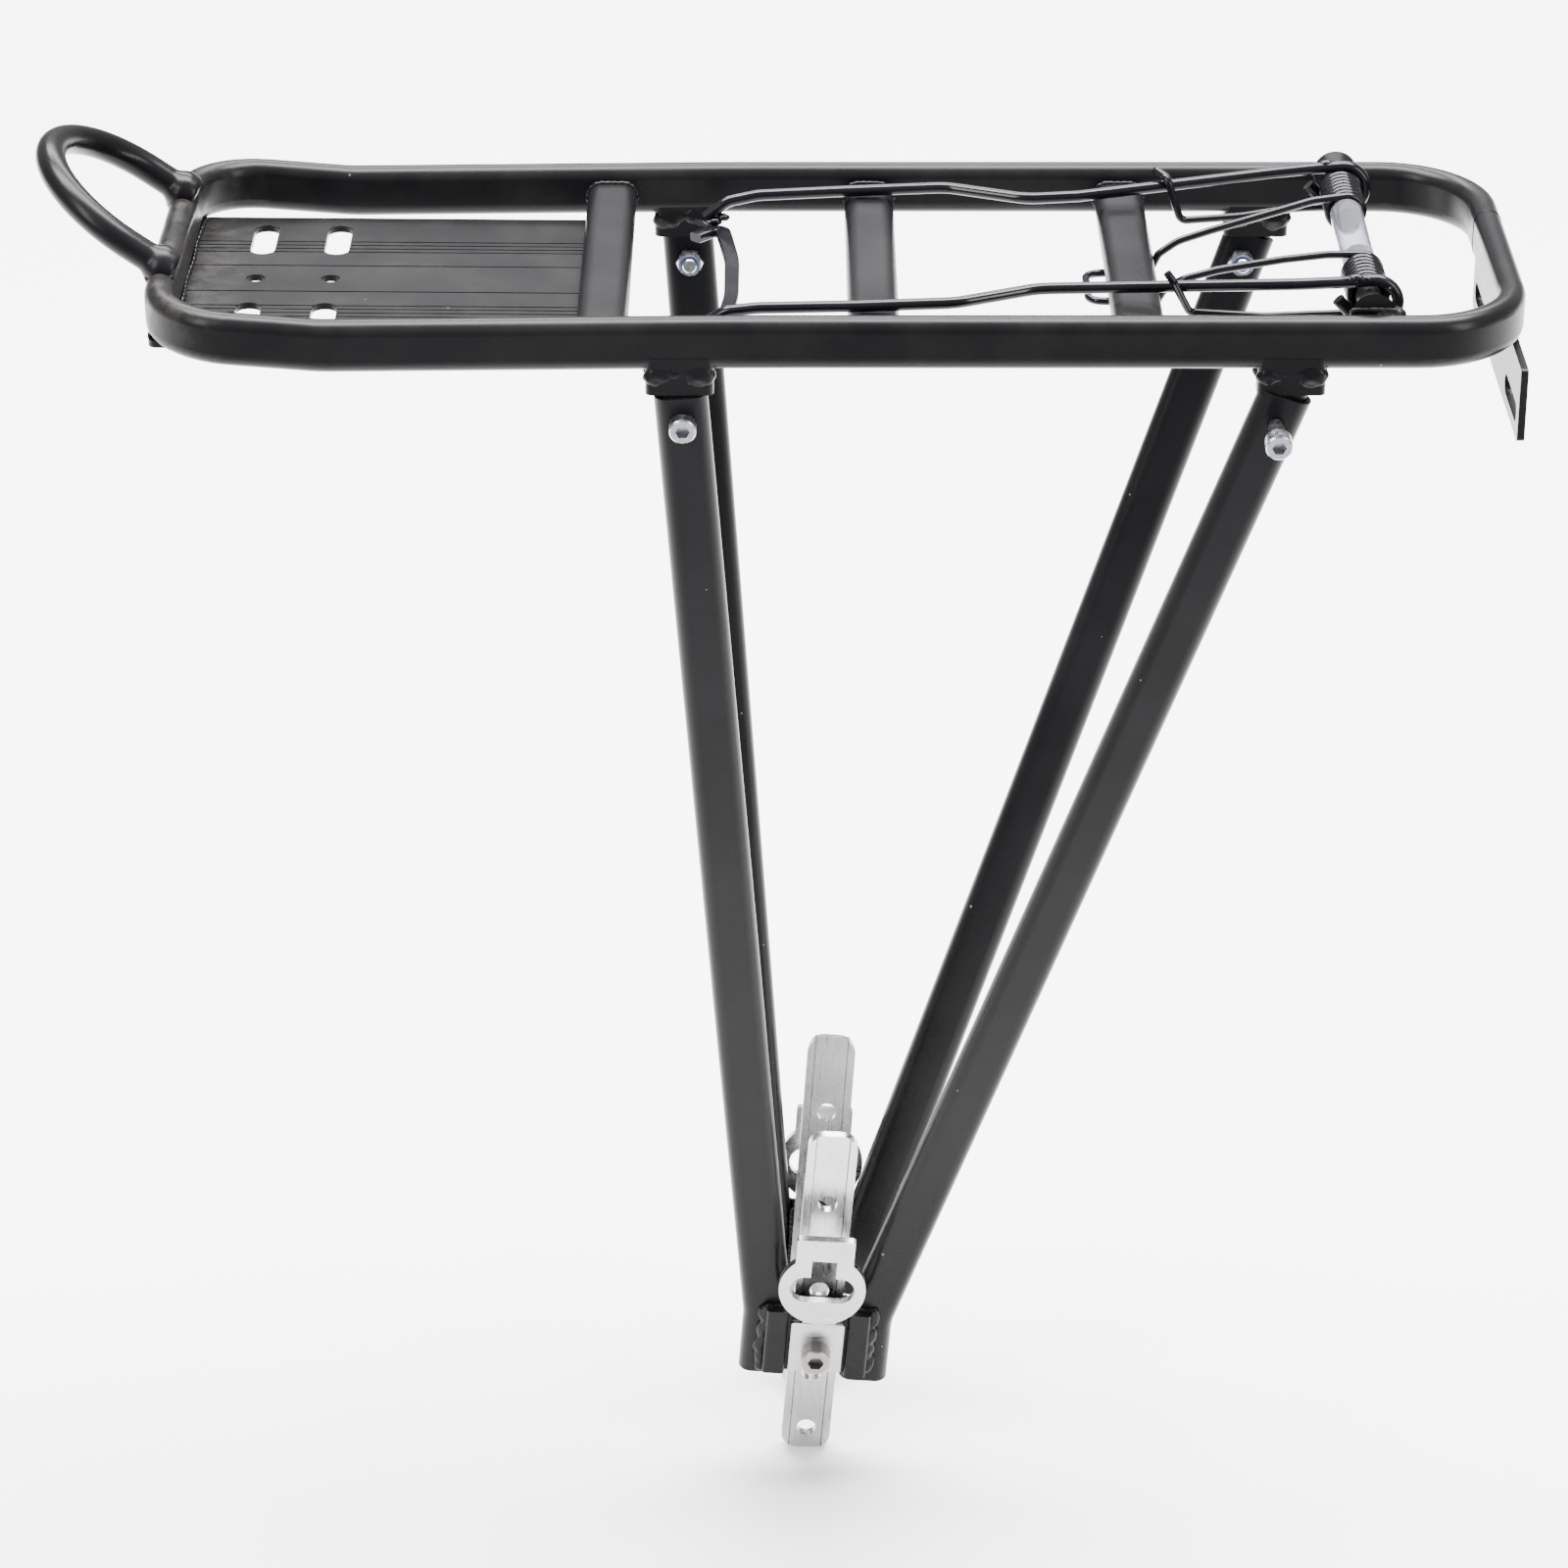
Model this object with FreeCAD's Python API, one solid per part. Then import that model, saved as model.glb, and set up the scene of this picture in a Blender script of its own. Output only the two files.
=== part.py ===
import FreeCAD, Part
import os
from math import sin, cos, tan, acos, radians, sqrt, pi, atan2

# Rear rack for a bicycle. Millimetres, +Z up, +X towards the front of the
# bicycle, the left side of the bicycle at +Y. The rack is drawn about the
# centre line of its deck tube and moved at the end, so that the origin is the
# centre of the two slots of the front stay plate, on the plate's front face.

V = FreeCAD.Vector
ROT = FreeCAD.Rotation
PLC = FreeCAD.Placement

# ---------------------------------------------------------------- dimensions
# deck: one flat-oval tube bent to a closed loop, on edge
TUBE_H = 17.0            # flat-oval tube, long side
TUBE_W = 8.9             # flat-oval tube, short side
TUBE_T = 1.4             # wall
RAIL_Y = 68.64           # rail centre line from the middle plane
FRONT_X = 228.0          # front end tube centre line
REAR_X = -196.0          # rear end tube centre line
FRONT_R = 32.0           # bend radius, front corners
REAR_R = 38.0            # bend radius, rear corners
SAG_X = -20.0            # from here the rails fall slightly towards the rear
KINK_X, KINK_Z = -144.0, -1.25   # here they turn up
REAR_Z = 2.9             # centre height of the rear end tube
# cross tubes, flat-oval, lying flat
CROSS_X = (-57.4, 27.6, 110.4)
CROSS_W = 16.2
CROSS_H = 9.4
CROSS_Z = -1.9
# rear plate
PLATE_T = 2.2
PLATE_Y = 54.8
PLATE_TILT = 0.475       # degrees, up towards the rear end tube
PLATE_X0, PLATE_X1 = -199.2, -52.5
SLOT_X = (-170.3, -146.2)
SLOT_Y = 34.4
SLOT_L = 26.0
SLOT_W = 8.0
SMALL_HOLE_R = 3.1
# rear hoop
HOOP_R = 33.5
HOOP_TUBE = 9.6
HOOP_ANGLE = 35.4
HOOP_STRAIGHT = 13.3
HOOP_FOOT = (-195.0, 10.8)
# front stay plate
STAY_X0, STAY_X1 = 229.7, 232.1
STAY_Y = 59.0
STAY_Z0, STAY_Z1 = -37.9, -13.6
STAY_SLOT_Y = 39.7
STAY_SLOT_Z = -30.6
STAY_SLOT_L = 28.5
STAY_SLOT_W = 6.6
STAY_LAND_Y = 33.0       # half length of the land welded to the tube
# legs: flat-oval tubes in two planes that lean in towards the wheel axle
LEG_Y0 = 71.68           # leg plane at the height of the deck centre line
LEAN = 6.28              # degrees
LEG_W = 16.9
LEG_T = 8.9
LEG_WALL = 1.5
LEG_TOP = -16.6          # along the leg plane
REAR_LEG = (-33.74, -0.07246)    # X = a + b p
FRONT_LEG = (161.11, 0.3451)
FOOT_SLOPE = 0.07276     # the foot's axis, dX/dp
FOOT_P = -392.5          # bolt position along the leg plane
FOOT_X = 10.56
LEG_FOOT_U = 17.6        # lower leg centre lines from the foot axis
LEG_END_V = -13.5        # lower end of the legs along the foot axis
BOLT_P = -25.5           # leg bolts
# foot strip
STRIP_W = 17.0
STRIP_T = 4.0
STRIP_V1 = 85.5
STRIP_V0 = -52.5
STRIP_HOLES = (56.5, 37.5, 18.5, 0.0, -18.5, -43.5)
STRIP_HOLE_R = 3.4
STRIP_N = -2.2           # outer face of the strip from the leg plane
# clamp
PIVOT_X = 182.1
PIVOT_Z = 6.8
STUB_R = 4.0
STUB_IN = 14.0           # inner end of each stub from the middle plane
WIRE_R = 1.9             # clamp wire
EYE_R = 7.5              # eye centre line radius
EYE_X, EYE_Z = 183.4, 6.0        # eye centre; the loose eye hangs on the stub
EYE_SWEEP = 232.0        # degrees
EYE_TAIL = 8.5           # straight end beyond the eye
EYE_Y = 51.1
SPRING_R = 1.3           # spring wire
COIL_R = 5.6             # coil centre line radius
COIL_Y0, COIL_Y1 = 24.8, 45.7
HOOK_Y = 47.3
SLEEVE_OD, SLEEVE_ID, SLEEVE_Y = 10.7, 8.3, 24.4

os.makedirs("parts", exist_ok=True)
nodes = {}


# ------------------------------------------------------------------- helpers
def fillet_path(pts, radii):
    """Straight runs joined by tangent arcs, as one wire."""
    pts = [V(*p) for p in pts]
    n = len(pts)
    if not isinstance(radii, (list, tuple)):
        radii = [radii] * (n - 2)
    edges = []
    last = pts[0]
    for i in range(1, n - 1):
        a, b, c = pts[i - 1], pts[i], pts[i + 1]
        d1 = (a - b).normalize()
        d2 = (c - b).normalize()
        ang = d1.getAngle(d2)
        turn = pi - ang
        if turn < 1e-4:
            continue
        r = radii[i - 1]
        t = r * tan(turn / 2)
        lim = 0.47 * min((a - b).Length, (c - b).Length)
        if t > lim:
            t = lim
            r = t / tan(turn / 2)
        p1 = b + d1 * t
        p2 = b + d2 * t
        bis = (d1 + d2).normalize()
        mid = b + bis * (r / sin(ang / 2) - r)
        if (p1 - last).Length > 1e-6:
            edges.append(Part.LineSegment(last, p1).toShape())
        edges.append(Part.Arc(p1, mid, p2).toShape())
        last = p2
    edges.append(Part.LineSegment(last, pts[-1]).toShape())
    return Part.Wire(edges)


def stadium(long, short, origin, xdir, normal):
    """Closed flat-oval wire, its long side along xdir, in the plane of normal."""
    xdir = V(*xdir).normalize()
    normal = V(*normal).normalize()
    ydir = normal.cross(xdir).normalize()
    o = V(*origin)
    h = (long - short) / 2.0
    r = short / 2.0

    def q(a, b):
        return o + xdir * a + ydir * b
    e = [Part.LineSegment(q(-h, -r), q(h, -r)).toShape(),
         Part.Arc(q(h, -r), q(h + r, 0), q(h, r)).toShape(),
         Part.LineSegment(q(h, r), q(-h, r)).toShape(),
         Part.Arc(q(-h, r), q(-h - r, 0), q(-h, -r)).toShape()]
    return Part.Wire(e)


def sweep(path, profile, binormal=None):
    mk = Part.BRepOffsetAPI.MakePipeShell(path)
    if binormal is not None:
        mk.setBiNormalMode(V(*binormal))
    mk.add(profile)
    mk.setTransitionMode(1)
    mk.build()
    mk.makeSolid()
    s = mk.shape()
    if s.ShapeType != "Solid":
        s = Part.Solid(s.Shells[0]) if s.Shells else s
    if s.Volume < 0:
        s.reverse()
    return s


def rod(pts, r, bend):
    path = fillet_path(pts, bend)
    d = (V(*pts[1]) - V(*pts[0])).normalize()
    c = Part.Wire([Part.makeCircle(r, V(*pts[0]), d)])
    return sweep(path, c)


def prism(outline, z0, z1):
    w = Part.makePolygon([V(x, y, z0) for x, y in outline] + [V(outline[0][0], outline[0][1], z0)])
    return Part.Face(w).extrude(V(0, 0, z1 - z0))


def box(x0, x1, y0, y1, z0, z1):
    return Part.makeBox(x1 - x0, y1 - y0, z1 - z0, V(x0, y0, z0))


def cyl(r, p, d, l):
    return Part.makeCylinder(r, l, V(*p), V(*d))


def mirror(s):
    return s.mirror(V(0, 0, 0), V(0, 1, 0))


def round_box(s, r, axis):
    """Round the edges of s that run along axis."""
    es = []
    for e in s.Edges:
        if len(e.Vertexes) == 2 and e.Curve.TypeId == "Part::GeomLine":
            d = (e.Vertexes[1].Point - e.Vertexes[0].Point).normalize()
            if abs(d.dot(V(*axis))) > 0.999:
                es.append(e)
    return s.makeFillet(r, es) if es else s


def hexagon(af, p, d, l, turn=0.0):
    r = af / sqrt(3)
    pts = [V(r * cos(radians(60 * i + turn)), r * sin(radians(60 * i + turn)), 0) for i in range(6)]
    s = Part.Face(Part.makePolygon(pts + [pts[0]])).extrude(V(0, 0, l))
    s.Placement = PLC(V(*p), ROT(V(0, 0, 1), V(*d)))
    return s


def side(s, sgn):
    """Leg-plane frame (x, y = inward from the outer face side, z = along the
    leg plane) to the rack, right side for sgn -1 and left side for +1."""
    t = s.copy()
    t.Placement = PLC(V(0, -LEG_Y0, 0), ROT(V(1, 0, 0), LEAN)).multiply(t.Placement)
    return t if sgn < 0 else mirror(t)


# ---------------------------------------------------------------- deck frame
half = [(FRONT_X, 0, 0), (FRONT_X, -RAIL_Y, 0), (SAG_X, -RAIL_Y, 0),
        (KINK_X, -RAIL_Y, KINK_Z), (REAR_X, -RAIL_Y, REAR_Z), (REAR_X, 0, REAR_Z)]
rad = [FRONT_R, 900.0, 60.0, REAR_R]


def deck_half(inset):
    pth = fillet_path(half, rad)
    prof = stadium(TUBE_H - 2 * inset, TUBE_W - 2 * inset, half[0], (0, 0, 1), (0, -1, 0))
    return sweep(pth, prof, (0, 0, 1))


outer_h = deck_half(0.0)
inner_h = deck_half(TUBE_T)
deck_outer = outer_h.fuse(mirror(outer_h)).removeSplitter()
deck_inner = inner_h.fuse(mirror(inner_h)).removeSplitter()
deck_frame = deck_outer.cut(deck_inner)
nodes["deck_frame"] = deck_frame

# --------------------------------------------------------------- cross tubes
for i, cx in enumerate(CROSS_X):
    y = RAIL_Y - 1.0
    a = Part.Face(stadium(CROSS_W, CROSS_H, (cx, -y, CROSS_Z), (1, 0, 0), (0, 1, 0))).extrude(V(0, 2 * y, 0))
    b = Part.Face(stadium(CROSS_W - 2 * TUBE_T, CROSS_H - 2 * TUBE_T, (cx, -y - 1, CROSS_Z), (1, 0, 0), (0, 1, 0))).extrude(V(0, 2 * y + 2, 0))
    nodes["cross_tube_" + ("rear", "middle", "front")[i]] = a.cut(deck_outer).cut(b)

# ----------------------------------------------------------------- rear plate
top = CROSS_Z - CROSS_H / 2
plate = box(PLATE_X0, PLATE_X1, -PLATE_Y, PLATE_Y, top - PLATE_T, top)
plate = round_box(plate, 3.0, (0, 0, 1))
for sy in (-1, 1):
    for sx in SLOT_X:
        st = Part.Face(stadium(SLOT_L, SLOT_W, (sx, sy * SLOT_Y, top - PLATE_T - 1), (0, 1, 0), (0, 0, 1))).extrude(V(0, 0, PLATE_T + 2))
        plate = plate.cut(st)
for sx in SLOT_X:
    plate = plate.cut(cyl(SMALL_HOLE_R, (sx, 0, top - PLATE_T - 1), (0, 0, 1), PLATE_T + 2))
# lengthwise grooves of the extrusion
for gy in (11.3, 23.6, 26.6, 29.7, 32.8):
    for s in (-1, 1):
        plate = plate.cut(box(PLATE_X0 - 1, PLATE_X1 + 1, s * gy - 0.35, s * gy + 0.35, top - 0.45, top + 1))
plate.rotate(V(CROSS_X[0], 0, top), V(0, 1, 0), PLATE_TILT)
plate = plate.cut(deck_outer)
nodes["rear_plate"] = max(plate.Solids, key=lambda q: q.Volume)

# ------------------------------------------------------------------ rear hoop
ux, uz = -cos(radians(HOOP_ANGLE)), sin(radians(HOOP_ANGLE))


def hp(t, y):
    return V(HOOP_FOOT[0] + ux * t, y, HOOP_FOOT[1] + uz * t)


e1 = Part.LineSegment(hp(-7, -HOOP_R), hp(HOOP_STRAIGHT, -HOOP_R)).toShape()
e2 = Part.Arc(hp(HOOP_STRAIGHT, -HOOP_R), hp(HOOP_STRAIGHT + HOOP_R, 0), hp(HOOP_STRAIGHT, HOOP_R)).toShape()
e3 = Part.LineSegment(hp(HOOP_STRAIGHT, HOOP_R), hp(-7, HOOP_R)).toShape()
hw = Part.Wire([e1, e2, e3])
hoop = sweep(hw, Part.Wire([Part.makeCircle(HOOP_TUBE / 2, hp(-7, -HOOP_R), V(ux, 0, uz))]))
for sy in (-1, 1):
    hoop = hoop.fuse(Part.makeSphere(7.0, hp(0.5, sy * HOOP_R)))
hoop = hoop.cut(deck_outer)
hoop = hoop.cut(box(REAR_X + TUBE_W / 2 - 2.0, 0, -60, 60, -30, 30))
hoop = hoop.cut(box(-220, -150, -60, 60, -30, -2.5))
hoop = max(hoop.Solids, key=lambda s: s.Volume)
nodes["rear_hoop"] = hoop

# ---------------------------------------------------------- front stay plate
stay = box(STAY_X0, STAY_X1, -STAY_Y, STAY_Y, STAY_Z0, STAY_Z1)
stay = round_box(stay, 1.5, (1, 0, 0))
stay = stay.fuse(box(STAY_X0, STAY_X1, -STAY_LAND_Y, STAY_LAND_Y, STAY_Z1 - 2, -5.0)).removeSplitter()
stay = stay.cut(deck_outer)
for sy in (-1, 1):
    st = Part.Face(stadium(STAY_SLOT_L, STAY_SLOT_W, (STAY_X0 - 1, sy * STAY_SLOT_Y, STAY_SLOT_Z), (0, 1, 0), (1, 0, 0))).extrude(V(5, 0, 0))
    stay = stay.cut(st)
nodes["front_stay_plate"] = max(stay.Solids, key=lambda s: s.Volume)

# ------------------------------------------------- legs, lugs and leg bolts
# frame of the right side: x as on the rack, y inward (outer face at -y),
# z along the leg plane
fdir = V(FOOT_SLOPE, 0, 1).normalize()        # foot axis, upwards
fperp = V(1, 0, -FOOT_SLOPE).normalize()      # across it, towards +x


def foot(u, v, y=0.0):
    return V(FOOT_X, y, FOOT_P) + fperp * u + fdir * v


def leg_line(ab, p):
    return V(ab[0] + ab[1] * p, 0, p)


def meet(ab, u):
    # where the upper centre line meets the lower one, offset u from the axis
    o = foot(u, 0)
    # x = o.x + FOOT_SLOPE (p - o.z) and x = a + b p
    p = (o.x - FOOT_SLOPE * o.z - ab[0]) / (ab[1] - FOOT_SLOPE)
    return leg_line(ab, p)


def leg(ab, u):
    a, k, b = leg_line(ab, LEG_TOP), meet(ab, u), foot(u, LEG_END_V - (1.5 if u > 0 else 0))
    pth = fillet_path([tuple(a), tuple(k), tuple(b)], 30.0)
    d = (k - a).normalize()
    across = V(0, 1, 0).cross(d)
    so = sweep(pth, stadium(LEG_W, LEG_T, tuple(a), tuple(across), tuple(d)), (0, 1, 0))
    a2 = a - d * 1.0
    b2 = b - fdir * 1.0
    pth2 = fillet_path([tuple(a2), tuple(k), tuple(b2)], 30.0)
    si = sweep(pth2, stadium(LEG_W - 2 * LEG_WALL, LEG_T - 2 * LEG_WALL, tuple(a2), tuple(across), tuple(d)), (0, 1, 0))
    s = so.cut(si)
    bp = leg_line(ab, BOLT_P)
    s = s.cut(cyl(2.65, (bp.x, -10, bp.z), (0, 1, 0), 20))
    return s


def lug(ab, sgn):
    c = leg_line(ab, -12.5).x
    b = box(c - 10.6, c + 10.6, -RAIL_Y - 4.6, -RAIL_Y + 4.2, -16.1, -4.0)
    b = round_box(b, 2.2, (0, 0, 1))
    b = b.cut(deck_outer)
    # tongue that goes into the open top of the leg
    a, k = leg_line(ab, -10.0), leg_line(ab, -38.0)
    d = (k - a).normalize()
    across = V(0, 1, 0).cross(d)
    t = Part.Face(stadium(13.3, 5.3, tuple(a), tuple(across), tuple(d))).extrude(k - a)
    bp = leg_line(ab, BOLT_P)
    t = t.cut(cyl(2.55, (bp.x, -10, bp.z), (0, 1, 0), 20))
    t = side(t, -1)
    s = b.fuse(t).cut(deck_outer).removeSplitter()
    s = max(s.Solids, key=lambda q: q.Volume)
    return s if sgn < 0 else mirror(s)


for name, ab, u in (("rear", REAR_LEG, -LEG_FOOT_U), ("front", FRONT_LEG, LEG_FOOT_U)):
    lg = leg(ab, u)
    for sgn, sd in ((-1, "right"), (1, "left")):
        nodes["leg_%s_%s" % (name, sd)] = side(lg, sgn)
        lgs = lug(ab, sgn)
        nodes["lug_%s_%s" % (name, sd)] = lgs.cut(nodes["leg_%s_%s" % (name, sd)])


def cap_screw(x, y, z, hr, hh, sr, length, af):
    """Socket cap screw, head outward (-y), underside of the head at y."""
    h = cyl(hr, (x, y - hh, z), (0, 1, 0), hh)
    h = h.makeChamfer(0.5, [e for e in h.Edges if e.Closed and abs(e.CenterOfMass.y - (y - hh)) < 1e-6])
    h = h.cut(hexagon(af, (x, y - hh - 0.01, z), (0, 1, 0), hh * 0.55))
    s = cyl(sr, (x, y, z), (0, 1, 0), length)
    s = s.makeChamfer(0.5, [e for e in s.Edges if e.Closed and abs(e.CenterOfMass.y - (y + length)) < 1e-6])
    return h.fuse(s)


def lock_nut(x, y, z, af, hh, dome, hr):
    """Prevailing-torque nut, seat at y, crown towards +y."""
    n = hexagon(af, (x, y, z), (0, 1, 0), hh)
    cone = Part.makeCone(af / sqrt(3) * 1.0, af * 0.46, dome + 1.2, V(x, y + hh - 1.2, z), V(0, 1, 0))
    keep = cyl(af / sqrt(3) + 1, (x, y, z), (0, 1, 0), hh - 1.2).fuse(cone)
    n = hexagon(af, (x, y, z), (0, 1, 0), hh + dome).common(keep)
    n = n.fuse(cyl(af * 0.45, (x, y, z), (0, 1, 0), hh + dome))
    return n.cut(cyl(hr, (x, y - 1, z), (0, 1, 0), hh + dome + 2))


of = LEG_T / 2
screws, nuts = [], []
for name, ab in (("rear", REAR_LEG), ("front", FRONT_LEG)):
    bp = leg_line(ab, BOLT_P)
    for sgn in (-1, 1):
        out = 10.2 if (name == "front" and sgn < 0) else 0.0   # this one stands part-way out
        screws.append(side(cap_screw(bp.x, -of - out, bp.z, 4.25, 5.0, 2.45, 16.0, 4.0), sgn))
        nuts.append(side(lock_nut(bp.x, of, bp.z, 8.0, 3.2, 1.8, 2.5), sgn))
nodes["leg_screws"] = Part.makeCompound([s.removeSplitter() for s in screws])
nodes["leg_lock_nuts"] = Part.makeCompound([s.removeSplitter() for s in nuts])

# ------------------------------------------------------------ foot assembly
# local frame: x across, z along the foot axis, y inward, origin at the bolt
FP = PLC(V(FOOT_X, 0, FOOT_P), ROT(V(0, 1, 0), -(-atan2(FOOT_SLOPE, 1) * 180 / pi)))


def to_foot(s, sgn):
    t = s.copy()
    t.Placement = FP.multiply(t.Placement)
    return side(t, sgn)


floor_y = -of
bracket = box(-18.1, 18.1, floor_y - 1.5, floor_y, -10.5, 16.8)
for u0, u1 in ((-18.1, -10.4), (10.4, 18.1)):
    rb = round_box(box(u0, u1, floor_y - 4.2, floor_y, -10.5, 16.8), 1.2, (0, 0, 1))
    bracket = bracket.fuse(rb)
bracket = bracket.fuse(round_box(box(-8.9, 8.9, floor_y, 2.2, -10.5, 16.8), 0.8, (0, 0, 1)))
bracket = bracket.cut(cyl(3.1, (0, -20, 0), (0, 1, 0), 40)).removeSplitter()

sy0, sy1 = 2.2, 2.2 + STRIP_T
strip = box(-STRIP_W / 2, STRIP_W / 2, sy0, sy1, STRIP_V0, STRIP_V1)
strip = round_box(strip, 6.0, (0, 1, 0))
for y0, y1 in ((sy0 - 1, sy0 + 0.5), (sy1 - 0.5, sy1 + 1)):
    strip = strip.cut(box(-STRIP_W / 2 + 2.6, STRIP_W / 2 - 2.6, y0, y1, STRIP_V0 - 1, STRIP_V1 + 1))
for v in STRIP_HOLES:
    strip = strip.cut(cyl(STRIP_HOLE_R, (0, -20, v), (0, 1, 0), 40))

# eyelet plate, joggled at the neck so that the ring stands outward
ey = floor_y - 1.5
RING_V = 30.0
lower = round_box(box(-9.2, 9.2, ey - 3.0, ey, -8.4, 12.6), 0.8, (0, 1, 0))
jy = ey - 2.9
ring = cyl(15.0, (0, jy - 3.0, RING_V), (0, 1, 0), 3.0)
ring = ring.fuse(round_box(box(-10.0, 10.0, jy - 3.0, jy, RING_V, RING_V + 21.3), 0.8, (0, 1, 0)))
oval = Part.Face(stadium(22.4, 10.7, (0, jy - 4.0, RING_V), (1, 0, 0), (0, 1, 0))).extrude(V(0, 6, 0))
ring = ring.cut(oval).cut(box(-4.3, 4.3, jy - 4, jy + 1, RING_V, RING_V + 12.5))
neck = prism([(11.5, ey), (11.5, ey - 3.0), (12.6, ey - 3.0), (15.6, jy - 3.0), (17.4, jy - 3.0), (17.4, jy), (16.2, jy), (13.2, ey)], -5.75, 5.75)
neck = neck.transformGeometry(FreeCAD.Matrix(0, 0, 1, 0, 0, 1, 0, 0, 1, 0, 0, 0, 0, 0, 0, 1))
eyelet = lower.fuse(ring).fuse(neck)
eyelet = eyelet.cut(oval).cut(cyl(3.1, (0, -20, 0), (0, 1, 0), 40)).removeSplitter()
if eyelet.Volume < 0:
    eyelet.reverse()

fscrew = cap_screw(0, ey - 3.0, 0, 5.1, 6.0, 2.95, 20.5, 5.0)
fnut = lock_nut(0, sy1, 0, 10.0, 4.2, 1.6, 3.0)
for sgn, sd in ((-1, "right"), (1, "left")):
    nodes["foot_bracket_" + sd] = to_foot(bracket, sgn)
    nodes["foot_strip_" + sd] = to_foot(strip, sgn)
    nodes["eyelet_plate_" + sd] = to_foot(eyelet, sgn)
nodes["foot_screws"] = Part.makeCompound([to_foot(fscrew.removeSplitter(), s) for s in (-1, 1)])
nodes["foot_lock_nuts"] = Part.makeCompound([to_foot(fnut.removeSplitter(), s) for s in (-1, 1)])

# ------------------------------------------------------------- clamp pivots
RIN = RAIL_Y - TUBE_W / 2
stub = cyl(STUB_R, (PIVOT_X, -RAIL_Y, PIVOT_Z), (0, 1, 0), RAIL_Y - STUB_IN)
stub = stub.makeChamfer(0.5, [e for e in stub.Edges if e.Closed and abs(e.CenterOfMass.y + STUB_IN) < 1e-6])
flare = Part.makeCone(8.0, 4.2, 10.0, V(PIVOT_X, -RIN - 2.0, PIVOT_Z), V(0, 1, 0))
stub = stub.fuse(flare).cut(deck_outer)
stub = stub.cut(box(150, 220, -90, -RIN - 0.01, -30, 40)).removeSplitter()
stub = max(stub.Solids, key=lambda s: s.Volume)
nodes["pivot_stub_right"] = stub
nodes["pivot_stub_left"] = mirror(stub)
sl = cyl(SLEEVE_OD / 2, (PIVOT_X, -SLEEVE_Y, PIVOT_Z), (0, 1, 0), 2 * SLEEVE_Y)
nodes["spacer_sleeve"] = sl.cut(cyl(SLEEVE_ID / 2, (PIVOT_X, -SLEEVE_Y - 1, PIVOT_Z), (0, 1, 0), 2 * SLEEVE_Y + 2))

# ------------------------------------------------------------------- clamp
# one arm: the free end is welded on the grip bar, the eye curls over and
# round the pivot stub
ARM = [(-26.5, 47.5, -3.0), (-19.0, 48.9, 2.2), (-9.0, 50.2, 3.9), (22.0, 51.4, 4.95),
       (53.0, 51.6, 6.1), (79.0, 40.2, 6.4), (96.0, 40.9, 7.0), (160.0, 49.9, 11.7)]


def arm_wire():
    # the eye's arc lies in the plane y = EYE_Y; the arm comes in tangent to it
    ex, ez = ARM[-1][0] - EYE_X, ARM[-1][2] - EYE_Z
    dist = sqrt(ex * ex + ez * ez)
    base = atan2(ez, ex)
    a0 = base - acos(EYE_R / dist)
    pt = (EYE_X + EYE_R * cos(a0), -EYE_Y, EYE_Z + EYE_R * sin(a0))
    pts = [(x, -y, z) for x, y, z in ARM] + [pt]
    # last run: straight in the plane of the eye
    return pts, a0


pts, a0 = arm_wire()
inline = (pts[-2][0] * 0.35 + pts[-1][0] * 0.65, -EYE_Y, pts[-2][2] * 0.35 + pts[-1][2] * 0.65)
pts = pts[:-1] + [inline, pts[-1]]
pw = fillet_path(pts, [8.0, 20.0, 60.0, 18.0, 18.0, 30.0, 40.0, 25.0])
a1 = a0 - radians(EYE_SWEEP)


def ep(a):
    return V(EYE_X + EYE_R * cos(a), -EYE_Y, EYE_Z + EYE_R * sin(a))


arc = Part.Arc(ep(a0), ep((a0 + a1) / 2), ep(a1)).toShape()
tail = Part.LineSegment(ep(a1), ep(a1) + V(sin(a1), 0, -cos(a1)) * EYE_TAIL).toShape()
pw = Part.Wire(pw.Edges + [arc, tail])
d0 = (V(*pts[1]) - V(*pts[0])).normalize()
arm = sweep(pw, Part.Wire([Part.makeCircle(WIRE_R, V(*pts[0]), d0)]))
# the grip bar: flat bar, bowed, its ends turned in under the arms
G_Z = -6.4
gp = [(-29.5, -38.0), (-21.0, -47.0), (-19.4, -35.0), (-17.2, -16.0), (-17.2, 16.0), (-19.4, 35.0), (-21.0, 47.0), (-29.5, 38.0)]
gpath = fillet_path([(x, y, G_Z) for x, y in gp], [2.6, 20.0, 90.0, 90.0, 20.0, 2.6])
gd = (V(gp[1][0], gp[1][1], 0) - V(gp[0][0], gp[0][1], 0)).normalize()
gs = gd.cross(V(0, 0, 1)).normalize()
o = V(gp[0][0], gp[0][1], G_Z)
hw_, ht_ = 2.4, 1.5
corner = [o + gs * a * hw_ + V(0, 0, b * ht_) for a, b in ((-1, -1), (1, -1), (1, 1), (-1, 1))]
gprof = Part.makePolygon(corner + [corner[0]])
grip = sweep(gpath, gprof, (0, 0, 1))
arm_l = mirror(arm)
arm = arm.cut(grip)
arm_l = arm_l.cut(grip)
nodes["clamp_arm_right"] = max(arm.Solids, key=lambda s: s.Volume)
nodes["clamp_arm_left"] = max(arm_l.Solids, key=lambda s: s.Volume)
nodes["grip_bar"] = grip

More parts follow.
